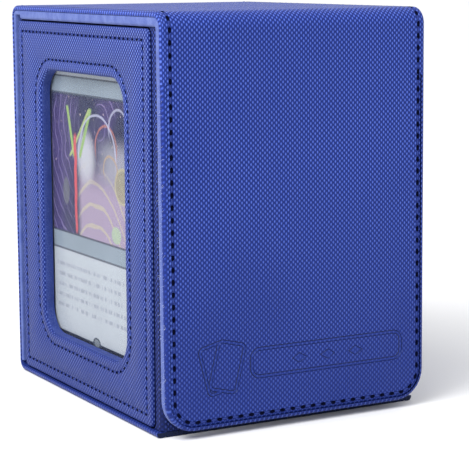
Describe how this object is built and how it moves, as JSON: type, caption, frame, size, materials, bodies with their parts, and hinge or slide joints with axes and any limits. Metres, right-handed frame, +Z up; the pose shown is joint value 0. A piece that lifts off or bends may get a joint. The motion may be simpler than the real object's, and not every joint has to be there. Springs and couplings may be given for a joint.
{
  "type": "card deck box",
  "caption": "Fabric-covered card deck box with a strap lid, a magnetic front flap and a side window that shows a card from a slim inner pocket.",
  "frame": {"origin": "middle of the footprint, on the surface the box stands on", "axes": "+Z up, +X to the right of the front flap, +Y towards the back; the window is in the -X side"},
  "size_m": [0.0816, 0.1006, 0.112],
  "materials": {
    "woven_cover": "royal blue leatherette with a fine woven emboss, soft sheen",
    "woven_panel": "royal blue leatherette with a diagonal woven emboss",
    "suede_lining": "smooth brushed microfibre, matt",
    "greyboard": "plain greyboard",
    "thread": "navy polyester thread",
    "clear_pane": "clear glossy film",
    "clear_sleeve": "clear soft film",
    "card_print": "printed card stock, satin",
    "divider_plastic": "frosted polypropylene",
    "magnet": "nickel-plated disc"
  },
  "bodies": {
    "root": {"floor_board": "greyboard", "front_board": "greyboard", "back_board": "greyboard", "window_side_board": "greyboard", "plain_side_board": "greyboard", "body_wrap": "woven_cover", "inner_lining": "suede_lining", "window_frame_panel": "woven_panel", "side_panel": "woven_panel", "window_pane": "clear_pane", "pocket_spacer": "greyboard", "pocket_wall": "greyboard", "front_magnets": "magnet", "base_strap_cover": "woven_cover", "back_strap_core": "suede_lining", "back_strap_cover": "woven_cover", "frame_outer_seam": "thread", "frame_inner_seam": "thread", "side_panel_seam": "thread", "back_seam": "thread", "lid_hinge_fold": "woven_cover"},
    "lid": {"lid_core": "greyboard", "lid_lining": "suede_lining", "lid_cover": "woven_cover", "lid_seam": "thread", "flap_hinge_fold": "woven_cover"},
    "flap": {"flap_core": "greyboard", "flap_lining": "suede_lining", "flap_cover": "woven_cover", "flap_seam": "thread", "flap_magnets": "magnet"},
    "display": {"display_card": "card_print", "card_sleeve": "clear_sleeve"},
    "divider_front": {"front_divider": "divider_plastic"},
    "divider_back": {"back_divider": "divider_plastic"}
  },
  "joints": [
    {"name": "lid_hinge", "type": "hinge", "parent": "root", "child": "lid", "pos_m": [0, 0.04706, 0.1088], "axis": [-1, 0, 0], "range_deg": [0, 180], "deforming": ["lid_hinge_fold"]},
    {"name": "flap_hinge", "type": "hinge", "parent": "lid", "child": "flap", "pos_m": [0, -0.04484, 0.1075], "axis": [-1, 0, 0], "range_deg": [0, 90], "deforming": ["flap_hinge_fold"]},
    {"name": "display_slide", "type": "slide", "parent": "root", "child": "display", "axis": [0, 0, 1], "range_m": [0, 0.009]},
    {"name": "front_divider_slide", "type": "slide", "parent": "root", "child": "divider_front", "axis": [0, 1, 0], "range_m": [-0.026, 0.012]},
    {"name": "back_divider_slide", "type": "slide", "parent": "root", "child": "divider_back", "axis": [0, 1, 0], "range_m": [-0.012, 0.026]}
  ]
}
